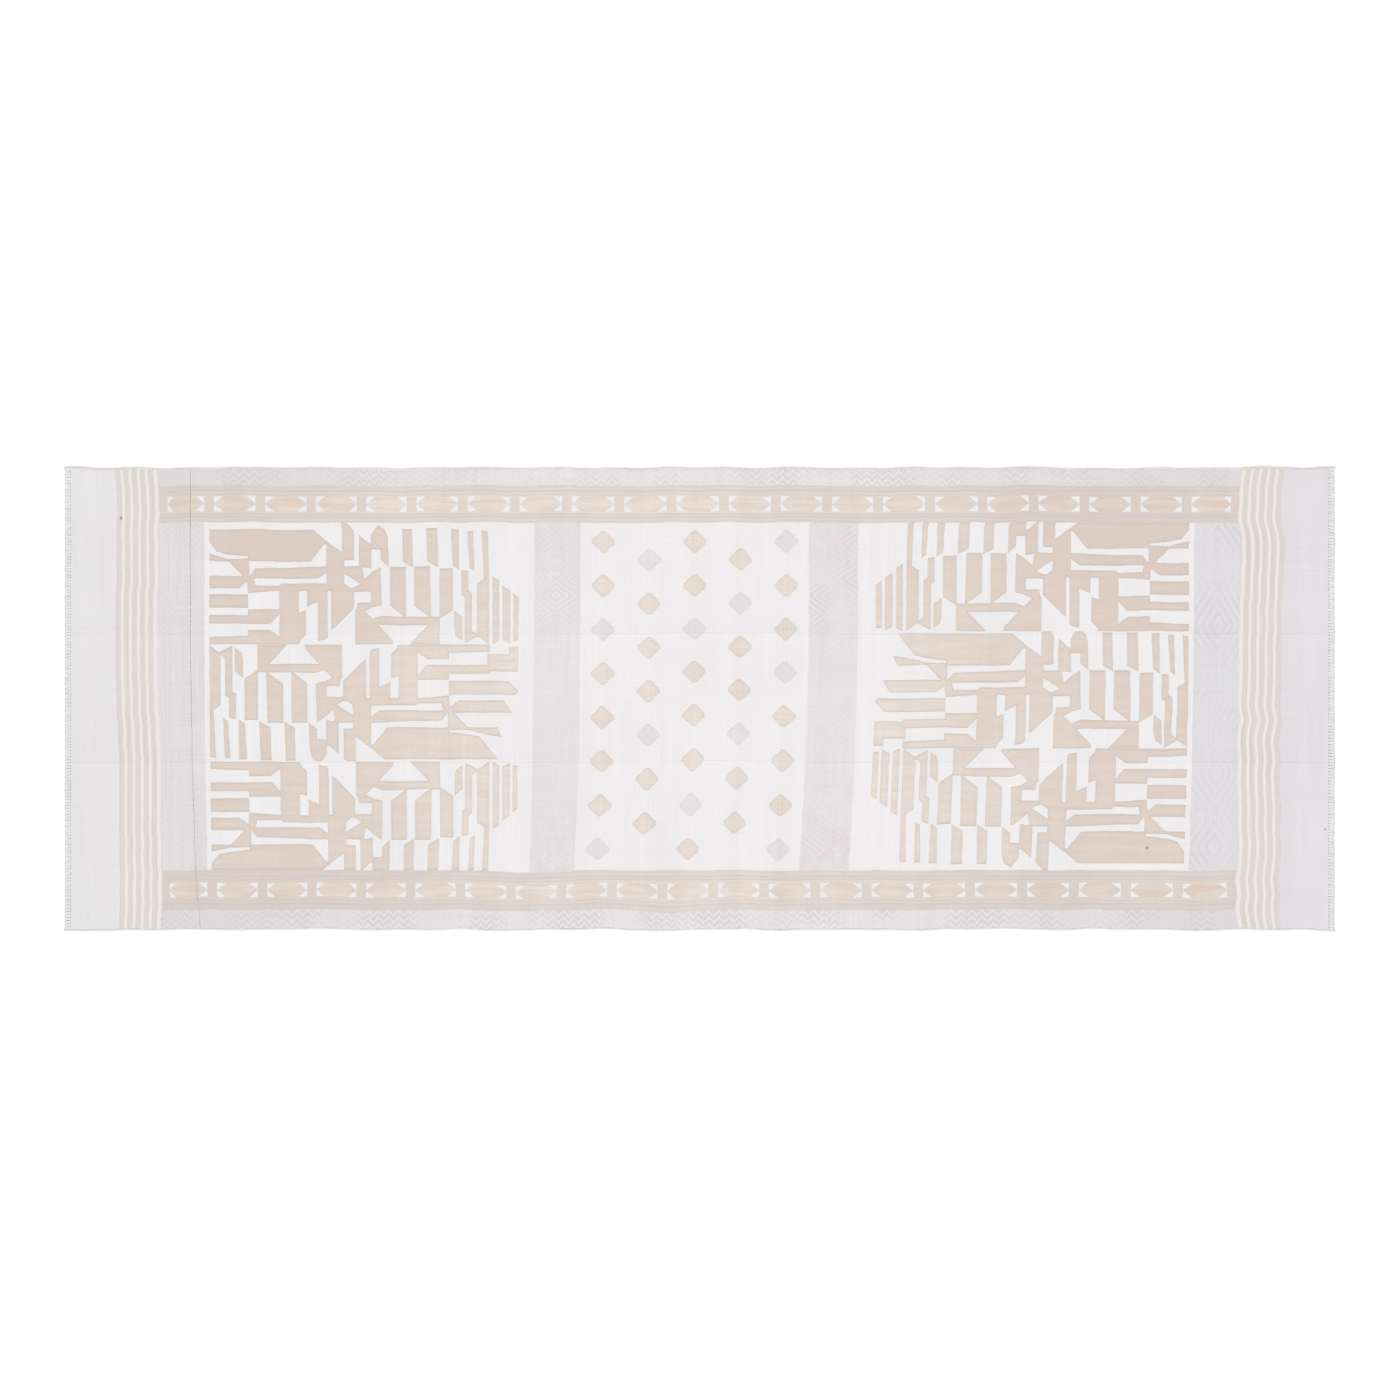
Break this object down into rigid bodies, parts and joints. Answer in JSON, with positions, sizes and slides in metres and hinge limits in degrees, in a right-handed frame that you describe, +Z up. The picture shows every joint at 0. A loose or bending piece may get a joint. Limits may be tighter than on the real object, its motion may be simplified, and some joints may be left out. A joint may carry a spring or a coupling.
{
  "type": "table runner",
  "caption": "Long flat handwoven cotton table runner with inlaid geometric panels, windowed side borders, rows of small diamonds and a short end fringe.",
  "frame": {"origin": "middle of the underside of the ground cloth, on the surface it lies on", "axes": "+X along the length, +Y across the cloth towards the back edge, +Z up out of the patterned face"},
  "size_m": [1.512, 0.55, 0.0008],
  "materials": {
    "ground_cotton": "matt woven cotton",
    "selvedge_yarn": "matt woven cotton",
    "heading_cotton": "matt woven cotton",
    "stripe_yarn": "matt woven cotton",
    "grey_inlay": "matt woven cotton",
    "beige_inlay": "matt woven cotton",
    "dark_thread": "matt woven cotton",
    "fringe_yarn": "matt cut yarn"
  },
  "bodies": {
    "root": {"ground_cloth": "ground_cotton", "selvedge_back": "selvedge_yarn", "selvedge_front": "selvedge_yarn", "heading_left": "heading_cotton", "heading_right": "heading_cotton", "stripes_left": "stripe_yarn", "stripes_right": "stripe_yarn", "end_panel_left": "grey_inlay", "end_panel_right": "grey_inlay", "cross_band_left": "grey_inlay", "cross_band_right": "grey_inlay", "edge_band_back": "grey_inlay", "edge_band_front": "grey_inlay", "border_back": "beige_inlay", "border_front": "beige_inlay", "medallions_back": "beige_inlay", "medallions_front": "beige_inlay", "geometric_panel_left": "beige_inlay", "geometric_panel_right": "beige_inlay", "dark_pick": "dark_thread", "fringe_left": "fringe_yarn", "fringe_right": "fringe_yarn", "diamond_1_1": "beige_inlay", "diamond_1_2": "beige_inlay", "diamond_1_3": "grey_inlay", "diamond_1_4": "beige_inlay", "diamond_1_5": "beige_inlay", "diamond_1_6": "beige_inlay", "diamond_1_7": "beige_inlay", "diamond_1_8": "grey_inlay", "diamond_2_1": "grey_inlay", "diamond_2_2": "beige_inlay", "diamond_2_3": "beige_inlay", "diamond_2_4": "beige_inlay", "diamond_2_5": "grey_inlay", "diamond_2_6": "beige_inlay", "diamond_2_7": "beige_inlay", "diamond_3_1": "beige_inlay", "diamond_3_2": "beige_inlay", "diamond_3_3": "grey_inlay", "diamond_3_4": "beige_inlay", "diamond_3_5": "beige_inlay", "diamond_3_6": "beige_inlay", "diamond_3_7": "grey_inlay", "diamond_3_8": "beige_inlay", "diamond_4_1": "beige_inlay", "diamond_4_2": "grey_inlay", "diamond_4_3": "beige_inlay", "diamond_4_4": "beige_inlay", "diamond_4_5": "grey_inlay", "diamond_4_6": "beige_inlay", "diamond_4_7": "beige_inlay", "diamond_5_1": "grey_inlay", "diamond_5_2": "beige_inlay", "diamond_5_3": "beige_inlay", "diamond_5_4": "grey_inlay", "diamond_5_5": "beige_inlay", "diamond_5_6": "beige_inlay", "diamond_5_7": "beige_inlay", "diamond_5_8": "grey_inlay"}
  },
  "joints": []
}
